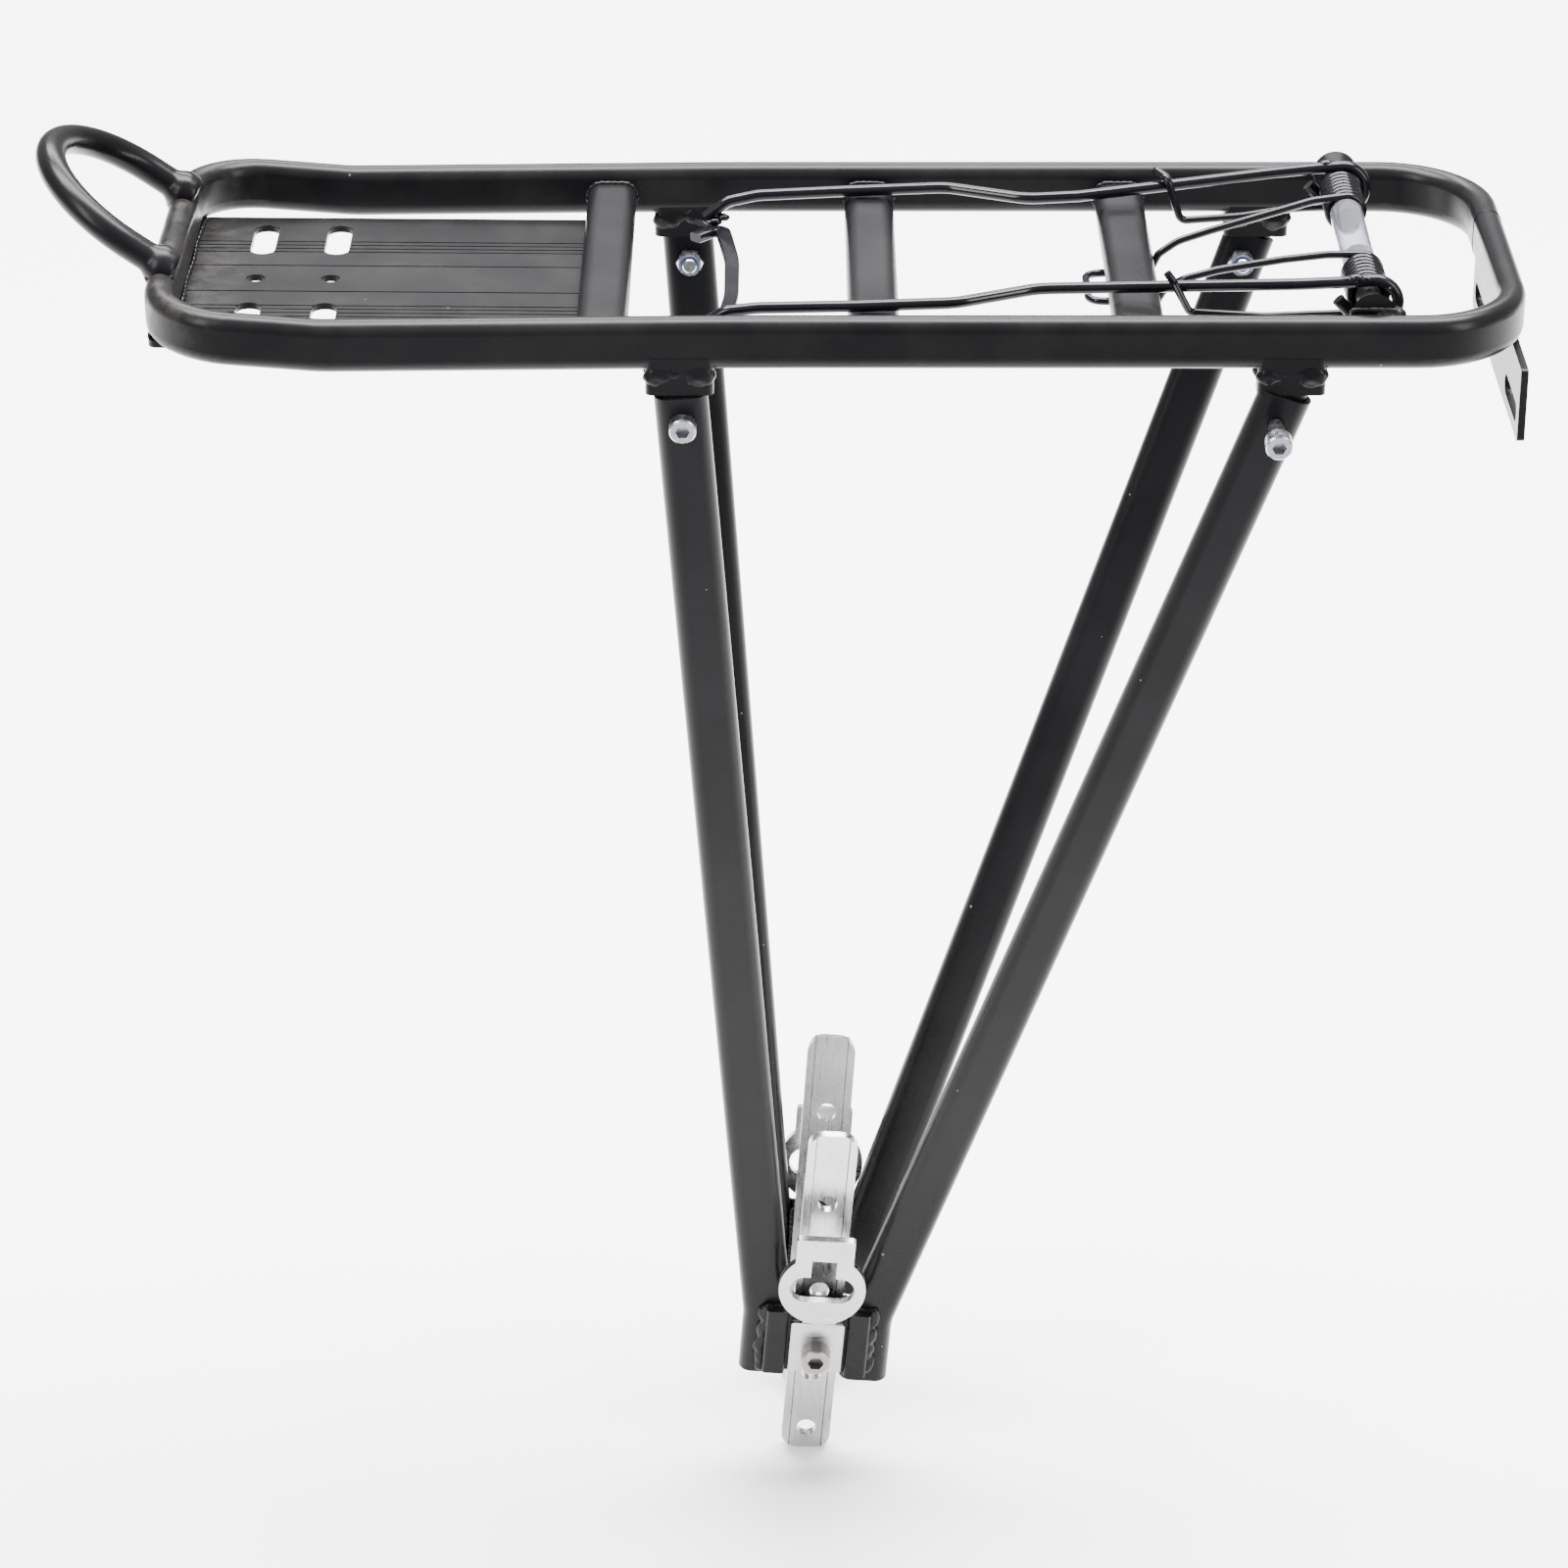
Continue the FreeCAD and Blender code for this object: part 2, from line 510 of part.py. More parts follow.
# ------------------------------------------------------------------- spring
# double torsion spring of one wire. Each coil is drawn as a tube with the
# turns as ribs; its outer leg, which turns with the clamp, is a node of its
# own.
turns = 6
pitch = (COIL_Y1 - COIL_Y0) / turns
core = cyl(COIL_R + 0.3, (PIVOT_X, -COIL_Y1, PIVOT_Z), (0, 1, 0), COIL_Y1 - COIL_Y0)
for i in range(turns):
    y = -COIL_Y0 - SPRING_R - (COIL_Y1 - COIL_Y0 - 2 * SPRING_R) * i / (turns - 1)
    core = core.fuse(Part.makeTorus(COIL_R, SPRING_R, V(PIVOT_X, y, PIVOT_Z), V(0, 1, 0)))
core = core.cut(cyl(COIL_R - SPRING_R + 0.02, (PIVOT_X, -COIL_Y1 - 1, PIVOT_Z), (0, 1, 0), COIL_Y1 - COIL_Y0 + 2))
core = core.removeSplitter()
INNER = [(PIVOT_X, 26.1, PIVOT_Z + COIL_R), (171.0, 24.2, 11.6), (158.0, 21.0, 8.8), (138.0, 17.6, 4.0),
         (127.0, 16.6, 0.6), (120.8, 15.4, -3.4), (118.2, 14.6, -8.5), (97.0, 11.6, -8.9)]
loop = [(x, -y, z) for x, y, z in INNER] + [(x, y, z) for x, y, z in reversed(INNER)]
mid = rod(loop, SPRING_R, [20.0, 30.0, 40.0, 14.0, 4.0, 3.0, 4.5, 4.5, 3.0, 4.0, 14.0, 40.0, 30.0, 20.0])
stubcut = cyl(COIL_R - SPRING_R + 0.02, (PIVOT_X, -60, PIVOT_Z), (0, 1, 0), 120)
spring = core.fuse(mid).fuse(mirror(core)).cut(stubcut).removeSplitter()
nodes["torsion_spring"] = spring if len(spring.Solids) == 1 else max(spring.Solids, key=lambda s: s.Volume)

HOOK = [(PIVOT_X, HOOK_Y, PIVOT_Z - COIL_R), (166.0, 46.4, 0.6), (150.0, 44.0, -1.2), (129.6, 40.6, -1.4),
        (125.0, 41.4, 12.9), (121.4, 48.0, 13.5)]
hook = rod([(x, -y, z) for x, y, z in HOOK], SPRING_R, [40.0, 40.0, 3.0, 2.2])
hook = hook.fuse(Part.makeTorus(COIL_R, SPRING_R, V(PIVOT_X, -HOOK_Y, PIVOT_Z), V(0, 1, 0))).removeSplitter()
nodes["spring_hook_right"] = hook
nodes["spring_hook_left"] = mirror(hook)

# -------------------------------------------------------------- place, write
# the origin: middle of the stay plate's slots, on its front face
shift = V(-STAY_X1, 0, -STAY_SLOT_Z)
for name, s in nodes.items():
    t = s.copy()
    t.translate(shift)
    ok = t.isValid()
    print("%-20s solids %d valid %s vol %.1f" % (name, len(t.Solids), ok, t.Volume))
    t.exportStep("parts/%s.step" % name)
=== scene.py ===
import bpy, bmesh, math
import numpy as np
from mathutils import Vector, Matrix
from math import sin, cos, tan, radians, pi, sqrt, atan2, acos


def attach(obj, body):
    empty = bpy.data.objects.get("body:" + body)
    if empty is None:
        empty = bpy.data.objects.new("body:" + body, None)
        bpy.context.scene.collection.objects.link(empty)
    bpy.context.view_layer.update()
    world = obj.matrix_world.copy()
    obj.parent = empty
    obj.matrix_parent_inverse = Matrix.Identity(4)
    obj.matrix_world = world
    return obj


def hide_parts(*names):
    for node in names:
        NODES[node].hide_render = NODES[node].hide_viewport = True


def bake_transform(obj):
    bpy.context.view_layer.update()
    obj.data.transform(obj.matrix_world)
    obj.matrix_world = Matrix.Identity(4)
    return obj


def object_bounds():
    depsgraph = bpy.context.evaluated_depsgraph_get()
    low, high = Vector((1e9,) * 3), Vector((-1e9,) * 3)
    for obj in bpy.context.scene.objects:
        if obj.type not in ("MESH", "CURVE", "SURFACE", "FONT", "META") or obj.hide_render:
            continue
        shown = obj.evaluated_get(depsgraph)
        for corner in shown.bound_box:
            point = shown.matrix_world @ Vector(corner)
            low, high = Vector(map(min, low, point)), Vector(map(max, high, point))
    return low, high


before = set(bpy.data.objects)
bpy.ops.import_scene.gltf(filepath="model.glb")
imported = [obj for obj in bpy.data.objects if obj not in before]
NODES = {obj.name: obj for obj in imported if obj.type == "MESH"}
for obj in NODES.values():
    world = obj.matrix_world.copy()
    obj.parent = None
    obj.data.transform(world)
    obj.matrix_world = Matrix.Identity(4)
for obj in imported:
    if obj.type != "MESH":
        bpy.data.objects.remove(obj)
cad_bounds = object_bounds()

RNG = np.random.default_rng(7)

# The rack's own drawing frame is millimetres about the deck tube's centre line;
# the row's origin is on the stay plate.
SX, SZ = -232.1, 30.6


def M(x, y, z):
    return Vector(((x + SX) / 1000.0, y / 1000.0, (z + SZ) / 1000.0))


# ------------------------------------------------------------ CAD dimensions
RAIL_Y, TUBE_W, TUBE_H = 68.64, 8.9, 17.0
RIN = RAIL_Y - TUBE_W / 2
FRONT_X, REAR_X = 228.0, -196.0
FRONT_R, REAR_R = 32.0, 38.0
SAG_X, KINK_X, KINK_Z, REAR_Z = -20.0, -144.0, -1.25, 2.9
PLATE_TOP, PLATE_TILT, PLATE_Y = -6.6, radians(0.475), 54.8
CROSS_X, CROSS_W, CROSS_H, CROSS_Z = (-57.4, 27.6, 110.4), 16.2, 9.4, -1.9
PX, PZ = 182.1, 6.8
WIRE_R, EYE_R, EYE_Y = 1.9, 7.5, 51.1
EYE_X, EYE_Z, EYE_SWEEP, EYE_TAIL = 183.4, 6.0, radians(232), 8.5
SPRING_R, COIL_R = 1.3, 5.6
LEAN = radians(6.28)
LEG_Y0 = 71.68
FOOT_SLOPE, FOOT_P, FOOT_X = 0.07276, -392.5, 10.56
HOOP_R, HOOP_T = 33.5, 4.8


def foot(u, y, v):
    """Foot frame (across, inward, along) to the leg-plane frame."""
    k = math.hypot(1, FOOT_SLOPE)
    return np.array([FOOT_X + (u + FOOT_SLOPE * v) / k, y, FOOT_P + (v - FOOT_SLOPE * u) / k])


def side(p, sgn):
    """Leg-plane frame to the rack, in mm. sgn -1 right, +1 left."""
    x, y, z = p
    Y = -LEG_Y0 + y * cos(LEAN) - z * sin(LEAN)
    Z = y * sin(LEAN) + z * cos(LEAN)
    return np.array([x, Y if sgn < 0 else -Y, Z])


# ------------------------------------------------------------------- meshing
def fillet(pts, radii, step=0.8):
    """Dense points along straight runs joined by tangent arcs."""
    P = [np.array(p, float) for p in pts]
    if not isinstance(radii, (list, tuple)):
        radii = [radii] * (len(P) - 2)
    out = [P[0]]
    for i in range(1, len(P) - 1):
        a, b, c = P[i - 1], P[i], P[i + 1]
        u = (a - b) / np.linalg.norm(a - b)
        w = (c - b) / np.linalg.norm(c - b)
        ang = acos(max(-1, min(1, float(u @ w))))
        turn = pi - ang
        if turn < 1e-3:
            continue
        t = radii[i - 1] * tan(turn / 2)
        t = min(t, 0.47 * min(np.linalg.norm(a - b), np.linalg.norm(c - b)))
        r = t / tan(turn / 2)
        bis = (u + w) / np.linalg.norm(u + w)
        cen = b + bis * (r / sin(ang / 2))
        e1 = (b + u * t - cen) / r
        e2 = (b + w * t - cen) / r
        n = max(3, int(turn / radians(7)) + 1)
        for k in range(n + 1):
            f = k / n
            q = (sin((1 - f) * turn) * e1 + sin(f * turn) * e2) / sin(turn) if turn < pi - 1e-3 else e1
            out.append(cen + q * r)
    out.append(P[-1])
    return densify(np.array(out), step)


def densify(P, step):
    out = [P[0]]
    for a, b in zip(P[:-1], P[1:]):
        L = np.linalg.norm(b - a)
        if L < 1e-6:
            continue
        n = max(1, int(round(L / step)))
        for k in range(1, n + 1):
            out.append(a + (b - a) * k / n)
    return np.array(out)


def smooth(P, times=3):
    P = P.copy()
    for _ in range(times):
        P[1:-1] = 0.25 * P[:-2] + 0.5 * P[1:-1] + 0.25 * P[2:]
    return P


def frames(P, up=None):
    T = np.gradient(P, axis=0)
    T /= np.linalg.norm(T, axis=1)[:, None]
    N = np.zeros_like(T)
    if up is not None:
        up = np.array(up, float)
        N = up - (T @ up)[:, None] * T
        N /= np.linalg.norm(N, axis=1)[:, None]
    else:
        a = np.array([0, 0, 1.0]) if abs(T[0][2]) < 0.9 else np.array([1.0, 0, 0])
        n = a - (a @ T[0]) * T[0]
        n /= np.linalg.norm(n)
        N[0] = n
        for i in range(1, len(T)):
            n = N[i - 1] - (N[i - 1] @ T[i]) * T[i]
            N[i] = n / np.linalg.norm(n)
    return T, N, np.cross(T, N)


def sweep_arrays(P, prof, closed=False, scale=None, up=None, round_ends=0.0):
    """prof: (k, 2) points, along N and B. scale: radius factor per point."""
    P = np.asarray(P, float)
    n = len(P)
    if closed:
        Q = np.vstack([P[-1:], P, P[:1]])
        T, N, B = frames(Q, up if up is not None else (0, 0, 1))
        T, N, B = T[1:-1], N[1:-1], B[1:-1]
    else:
        T, N, B = frames(P, up)
    if scale is None:
        scale = np.ones(n)
    scale = np.array(scale, float)
    if not closed and round_ends > 0:
        extra = 4
        hd, tl, hs, ts = [], [], [], []
        for j in range(extra):
            f = sin(pi / 2 * (j + 0.35) / extra)
            g = cos(pi / 2 * (j + 0.35) / extra)
            hd.append(P[0] - T[0] * round_ends * g)
            hs.append(scale[0] * f)
            tl.append(P[-1] + T[-1] * round_ends * g)
            ts.append(scale[-1] * f)
        P = np.vstack([hd, P, tl[::-1]])
        scale = np.concatenate([hs, scale, ts[::-1]])
        T = np.vstack([T[:1]] * extra + [T] + [T[-1:]] * extra)
        N = np.vstack([N[:1]] * extra + [N] + [N[-1:]] * extra)
        B = np.vstack([B[:1]] * extra + [B] + [B[-1:]] * extra)
        n = len(P)
    k = len(prof)
    V = (P[:, None, :] + scale[:, None, None] * (prof[None, :, 0, None] * N[:, None, :] + prof[None, :, 1, None] * B[:, None, :])).reshape(-1, 3)
    F = []
    m = n if closed else n - 1
    for i in range(m):
        a, b = i * k, ((i + 1) % n) * k
        for j in range(k):
            j2 = (j + 1) % k
            F.append((a + j, a + j2, b + j2, b + j))
    if not closed:
        F.append(tuple(range(k))[::-1])
        F.append(tuple((n - 1) * k + j for j in range(k)))
    return V, F


def circle(r, k=16):
    a = np.arange(k) * 2 * pi / k
    return np.stack([r * np.cos(a), r * np.sin(a)], 1)


def rrect(w, h, r, k=4):
    pts = []
    for cx, cy, a0 in ((w / 2 - r, h / 2 - r, 0), (-w / 2 + r, h / 2 - r, 90), (-w / 2 + r, -h / 2 + r, 180), (w / 2 - r, -h / 2 + r, 270)):
        for i in range(k + 1):
            a = radians(a0 + 90 * i / k)
            pts.append((cx + r * cos(a), cy + r * sin(a)))
    return np.array(pts)


def make(name, parts, mat, body=None, shade=50):
    """One object from a list of (vertices in mm, faces)."""
    V, F, off = [], [], 0
    for v, f in parts:
        V.append(v)
        F += [tuple(i + off for i in q) for q in f]
        off += len(v)
    V = np.vstack(V)
    W = np.stack([(V[:, 0] + SX) / 1000, V[:, 1] / 1000, (V[:, 2] + SZ) / 1000], 1)
    me = bpy.data.meshes.new(name)
    me.from_pydata([tuple(p) for p in W], [], F)
    me.validate()
    bm = bmesh.new()
    bm.from_mesh(me)
    bmesh.ops.recalc_face_normals(bm, faces=bm.faces)
    bm.to_mesh(me)
    bm.free()
    me.shade_smooth()
    me.set_sharp_from_angle(angle=radians(shade))
    me.materials.append(mat)
    ob = bpy.data.objects.new(name, me)
    bpy.context.scene.collection.objects.link(ob)
    if body:
        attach(ob, body)
    return ob


def bead(P, r, seed=0, pitch=2.1, wob=0.22, drift=0.18, closed=False, flat=0.8):
    """A weld bead: ripples along it, a wandering line and lumps."""
    g = np.random.default_rng(seed)
    P = densify(np.asarray(P, float), 0.35)
    if closed and np.linalg.norm(P[0] - P[-1]) < 1e-6:
        P = P[:-1]
    n = len(P)
    s = np.arange(n) * 0.35
    ph = g.uniform(0, 6.28, 6)
    L = max(s[-1], 1.0)
    if closed:
        m = max(3, round(L / pitch))
        rip = np.abs(np.sin(pi * m * s / L + ph[0]))
        low = 0.5 * np.sin(2 * pi * 3 * s / L + ph[1]) + 0.5 * np.sin(2 * pi * 5 * s / L + ph[2])
    else:
        rip = np.abs(np.sin(pi * s / pitch + ph[0]))
        low = 0.6 * np.sin(s / 3.7 + ph[1]) + 0.4 * np.sin(s / 1.9 + ph[2])
    sc = 1 - wob * 0.5 + wob * rip + 0.14 * low
    d = np.stack([np.sin(s / 5.3 + ph[3 + i]) for i in range(3)], 1) * drift
    if closed:
        d = d * 0
    T = np.gradient(P, axis=0)
    return sweep_arrays(P + d, circle(r, 12) * np.array([1.0, flat]), closed=closed, scale=sc, up=(0, 1, 0) if closed else None, round_ends=0 if closed else r)


def blob(c, r, seed=0, squash=(1, 1, 1), k=16):
    """A lump of weld metal."""
    g = np.random.default_rng(seed)
    bm = bmesh.new()
    bmesh.ops.create_icosphere(bm, subdivisions=3, radius=1.0)
    ph = g.uniform(0, 6.28, 9)
    V = []
    for v in bm.verts:
        x, y, z = v.co
        f = 1 + 0.10 * sin(3.1 * x + ph[0]) * sin(2.7 * y + ph[1]) + 0.07 * sin(6.3 * z + ph[2]) * sin(5.1 * x + ph[3]) + 0.04 * sin(11 * y + ph[4]) * sin(9 * z + ph[5])
        V.append((c[0] + x * r * squash[0] * f, c[1] + y * r * squash[1] * f, c[2] + z * r * squash[2] * f))
    F = [tuple(v.index for v in f.verts) for f in bm.faces]
    bm.free()
    return np.array(V), F


def melt(ob, voxel=0.0004, rounds=5):
    """Runs the lumps of a weld together into one smooth skin."""
    r = ob.modifiers.new("fuse", "REMESH")
    r.mode = "VOXEL"
    r.voxel_size = voxel
    r.use_smooth_shade = True
    q = ob.modifiers.new("relax", "SMOOTH")
    q.factor = 0.5
    q.iterations = rounds
    return ob


# ----------------------------------------------------------------- materials
class Mat:
    def __init__(self, name, base, rough, metal=0.0, spec=0.5, coat=0.0, coat_rough=0.1):
        self.m = bpy.data.materials.new(name)
        self.m.use_nodes = True
        self.t = self.m.node_tree
        self.b = next(n for n in self.t.nodes if n.type == "BSDF_PRINCIPLED")
        self.b.inputs["Base Color"].default_value = (*base, 1)
        self.b.inputs["Roughness"].default_value = rough
        self.b.inputs["Metallic"].default_value = metal
        self.b.inputs["Specular IOR Level"].default_value = spec
        self.b.inputs["Coat Weight"].default_value = coat
        self.b.inputs["Coat Roughness"].default_value = coat_rough
        self.co = self.n("ShaderNodeTexCoord").outputs["Object"]

    def n(self, kind, **kw):
        x = self.t.nodes.new(kind)
        for k, v in kw.items():
            setattr(x, k, v)
        return x

    def link(self, a, b):
        self.t.links.new(a, b)

    def mapped(self, scale=(1, 1, 1), rot=(0, 0, 0), src=None):
        m = self.n("ShaderNodeMapping")
        m.inputs["Scale"].default_value = scale
        m.inputs["Rotation"].default_value = rot
        self.link(src or self.co, m.inputs["Vector"])
        return m.outputs["Vector"]

    def noise(self, scale, detail=3.0, rough=0.5, vec=None, dist=0.0):
        x = self.n("ShaderNodeTexNoise")
        x.inputs["Scale"].default_value = scale
        x.inputs["Detail"].default_value = detail
        x.inputs["Roughness"].default_value = rough
        x.inputs["Distortion"].default_value = dist
        self.link(vec or self.co, x.inputs["Vector"])
        return x.outputs["Fac"]

    def voro(self, scale, vec=None, feature="F1"):
        x = self.n("ShaderNodeTexVoronoi", feature=feature)
        x.inputs["Scale"].default_value = scale
        self.link(vec or self.co, x.inputs["Vector"])
        return x

    def ramp(self, fac, stops):
        x = self.n("ShaderNodeValToRGB")
        cr = x.color_ramp
        while len(cr.elements) > len(stops):
            cr.elements.remove(cr.elements[-1])
        while len(cr.elements) < len(stops):
            cr.elements.new(1.0)
        for e, (p, c) in zip(cr.elements, stops):
            e.position = p
            e.color = (c, c, c, 1) if not isinstance(c, tuple) else (*c, 1)
        self.link(fac, x.inputs["Fac"])
        return x.outputs["Color"]

    def math(self, op, a, b=None, clamp=False):
        x = self.n("ShaderNodeMath", operation=op, use_clamp=clamp)
        for i, v in enumerate((a, b)):
            if v is None:
                continue
            if isinstance(v, (int, float)):
                x.inputs[i].default_value = v
            else:
                self.link(v, x.inputs[i])
        return x.outputs[0]

    def mix(self, fac, a, b):
        x = self.n("ShaderNodeMix", data_type="RGBA")
        for s, v in ((0, fac), (6, a), (7, b)):
            if isinstance(v, (int, float)):
                x.inputs[s].default_value = v
            elif isinstance(v, tuple):
                x.inputs[s].default_value = (*v, 1)
            else:
                self.link(v, x.inputs[s])
        return x.outputs[2]

    def rng(self, v, a, b, c, d):
        x = self.n("ShaderNodeMapRange")
        for i, q in enumerate((a, b, c, d)):
            x.inputs[i + 1].default_value = q
        self.link(v, x.inputs[0])
        return x.outputs[0]

    def bump(self, *layers):
        prev = None
        for h, dist, strength in layers:
            x = self.n("ShaderNodeBump")
            x.inputs["Distance"].default_value = dist
            x.inputs["Strength"].default_value = strength
            self.link(h, x.inputs["Height"])
            if prev is not None:
                self.link(prev, x.inputs["Normal"])
            prev = x.outputs["Normal"]
        self.link(prev, self.b.inputs["Normal"])

    def set(self, name, sock):
        self.link(sock, self.b.inputs[name])


def specks(m, scale, size, density, seed):
    """Sparse small dots: 1 in a speck, 0 elsewhere."""
    v = m.voro(scale, m.mapped((1, 1, 1), (seed, seed * 1.7, seed * 0.6)))
    dot = m.math("LESS_THAN", v.outputs["Distance"], size)
    sep = m.n("ShaderNodeSeparateColor")
    m.link(v.outputs["Color"], sep.inputs[0])
    pick = m.math("GREATER_THAN", sep.outputs[0], 1 - density)
    return m.math("MULTIPLY", dot, pick)


def powder(name="powder_coat_black", dust=0.0, rough=0.29):
    m = Mat(name, (0.01, 0.01, 0.011), rough, spec=0.13)
    big = m.noise(14, 4, 0.6)
    fine = m.noise(900, 2, 0.5)
    peel = m.noise(420, 2, 0.5)
    col = m.mix(m.ramp(big, [(0.35, 0.0), (0.7, 1.0)]), (0.0036, 0.0036, 0.0041), (0.0062, 0.0062, 0.0070))
    # handling film: broad and faint
    sc = m.noise(22, 3, 0.5, m.mapped((0.6, 1.0, 1.4), (0.2, 0.1, 0.4)))
    scm = m.ramp(sc, [(0.45, 0.0), (0.85, 1.0)])
    col = m.mix(m.math("MULTIPLY", scm, 0.10), col, (0.03, 0.03, 0.031))
    s1 = specks(m, 150, 0.075, 0.035, 0.3)
    s2 = specks(m, 330, 0.11, 0.012, 1.1)
    sp = m.math("MAXIMUM", s1, s2)
    col = m.mix(m.math("MULTIPLY", sp, 0.55), col, (0.20, 0.195, 0.185))
    if dust:
        sep = m.n("ShaderNodeSeparateXYZ")
        m.link(m.co, sep.inputs[0])
        x0 = (-182 + SX) / 1000
        near = m.rng(sep.outputs[0], (-189 + SX) / 1000, (-170 + SX) / 1000, 1.0, 0.0)
        dn = m.ramp(m.noise(130, 6, 0.75), [(0.42, 0.0), (0.66, 1.0)])
        dm = m.math("MULTIPLY", m.math("MULTIPLY", near, dn), dust)
        film = m.math("MULTIPLY", m.ramp(m.noise(40, 5, 0.65), [(0.45, 0.0), (0.8, 1.0)]), 0.10)
        dm = m.math("MAXIMUM", dm, film)
        col = m.mix(dm, col, (0.045, 0.038, 0.029))
        m.set("Roughness", m.rng(dm, 0, 1, rough, 0.85))
    else:
        r = m.rng(big, 0.3, 0.7, rough - 0.05, rough + 0.07)
        r = m.math("ADD", r, m.math("MULTIPLY", sp, 0.3))
        m.set("Roughness", r)
    m.set("Base Color", col)
    m.bump((peel, 0.00006, 0.35), (fine, 0.00002, 0.25), (m.noise(35, 2, 0.5), 0.0002, 0.10))
    return m.m


def gloss_wire(name="gloss_black_wire"):
    m = Mat(name, (0.005, 0.005, 0.0065), 0.16, spec=0.22)
    n1 = m.noise(30, 4, 0.6)
    m.set("Base Color", m.mix(m.math("MULTIPLY", specks(m, 260, 0.1, 0.03, 0.8), 0.6),
                              m.mix(m.ramp(n1, [(0.3, 0.0), (0.7, 1.0)]), (0.0028, 0.0028, 0.0040), (0.0052, 0.0052, 0.0068)), (0.25, 0.25, 0.25)))
    m.set("Roughness", m.rng(n1, 0.3, 0.7, 0.12, 0.24))
    m.bump((m.noise(160, 3, 0.5), 0.00008, 0.25))
    return m.m


def raw_alu(name="raw_aluminium", along=(1, 1, 0.06), base=(0.50, 0.50, 0.51), rot=(0, 0.073, 0)):
    m = Mat(name, base, 0.34, metal=1.0)
    streak = m.noise(900, 4, 0.6, m.mapped(along, rot))
    broad = m.noise(45, 5, 0.6)
    dirt = m.ramp(m.noise(110, 6, 0.7), [(0.52, 0.0), (0.75, 1.0)])
    c = m.mix(m.ramp(streak, [(0.3, 0.0), (0.7, 1.0)]), tuple(v * 0.86 for v in base), base)
    c = m.mix(m.math("MULTIPLY", m.ramp(broad, [(0.4, 0.0), (0.75, 1.0)]), 0.3), c, (0.62, 0.62, 0.63))
    c = m.mix(m.math("MULTIPLY", dirt, 0.25), c, (0.20, 0.19, 0.175))
    m.set("Base Color", c)
    m.set("Roughness", m.math("ADD", m.rng(streak, 0.3, 0.7, 0.20, 0.38), m.math("MULTIPLY", dirt, 0.15)))
    m.bump((streak, 0.00004, 0.5), (m.noise(28, 3, 0.5), 0.0004, 0.12), (m.noise(260, 3, 0.6), 0.00006, 0.2))
    return m.m


def zinc(name="bright_zinc", base=(0.42, 0.43, 0.46), rough=0.24):
    m = Mat(name, base, rough, metal=1.0)
    n1 = m.noise(500, 4, 0.6)
    n2 = m.noise(160, 3, 0.6)
    c = m.mix(m.ramp(n2, [(0.35, 0.0), (0.7, 1.0)]), tuple(v * 0.82 for v in base), base)
    c = m.mix(m.math("MULTIPLY", m.ramp(n1, [(0.55, 0.0), (0.8, 1.0)]), 0.25), c, (0.24, 0.24, 0.27))
    m.set("Base Color", c)
    m.set("Roughness", m.rng(n1, 0.3, 0.75, rough - 0.05, rough + 0.16))
    m.bump((n1, 0.00005, 0.3))
    return m.m


def clear(name="clear_sleeve"):
    m = Mat(name, (0.80, 0.81, 0.88), 0.06, spec=0.5)
    m.b.inputs["Transmission Weight"].default_value = 0.93
    m.b.inputs["IOR"].default_value = 1.42
    n1 = m.noise(120, 4, 0.6)
    m.set("Base Color", m.mix(m.ramp(n1, [(0.35, 0.0), (0.75, 1.0)]), (0.60, 0.61, 0.69), (0.84, 0.85, 0.91)))
    m.set("Roughness", m.rng(n1, 0.3, 0.75, 0.03, 0.14))
    m.bump((m.noise(300, 3, 0.5, m.mapped((1, 0.15, 1))), 0.00008, 0.3))
    return m.m


def nylon(name="nylon_insert"):
    m = Mat(name, (0.05, 0.07, 0.16), 0.42, spec=0.4)
    n1 = m.noise(900, 3, 0.6)
    m.set("Base Color", m.mix(m.ramp(n1, [(0.3, 0.0), (0.7, 1.0)]), (0.04, 0.055, 0.13), (0.07, 0.09, 0.20)))
    m.set("Roughness", m.rng(n1, 0.3, 0.7, 0.35, 0.5))
    m.bump((n1, 0.00004, 0.3))
    return m.m


BLACK = powder()
BLACK_DUSTY = powder("powder_coat_dusty", dust=0.3)
WELD = powder("painted_weld", rough=0.27)
WIRE = gloss_wire()
SPRINGW = gloss_wire("spring_wire_black")
ALU = raw_alu()
ALU_H = raw_alu("raw_aluminium_across", along=(0.05, 1, 1), base=(0.45, 0.45, 0.46))
ZINC = zinc()
STEEL = zinc("screw_steel", (0.27, 0.255, 0.235), 0.34)
CLEAR = clear()
# painted shade: dark aluminium for the rods that stand in for the shade in the foot strips' channels
CHANNEL_SHADE = raw_alu("channel_painted_shade", base=(0.10, 0.098, 0.092))
NYLON = nylon()

for n, ob in NODES.items():
    me = ob.data
    mat = BLACK
    if n in ("deck_frame", "rear_plate"):
        mat = BLACK_DUSTY
    elif n.startswith("foot_strip"):
        mat = ALU
    elif n.startswith("eyelet"):
        mat = ALU_H
    elif n in ("leg_screws", "leg_lock_nuts"):
        mat = ZINC
    elif n in ("foot_screws", "foot_lock_nuts"):
        mat = STEEL
    elif n == "spacer_sleeve":
        mat = CLEAR
    elif n.startswith("clamp_arm") or n == "grip_bar":
        mat = WIRE
    elif "spring" in n:
        mat = SPRINGW
    if not me.materials:
        me.materials.append(mat)
    for i in range(len(me.materials)):
        me.materials[i] = mat

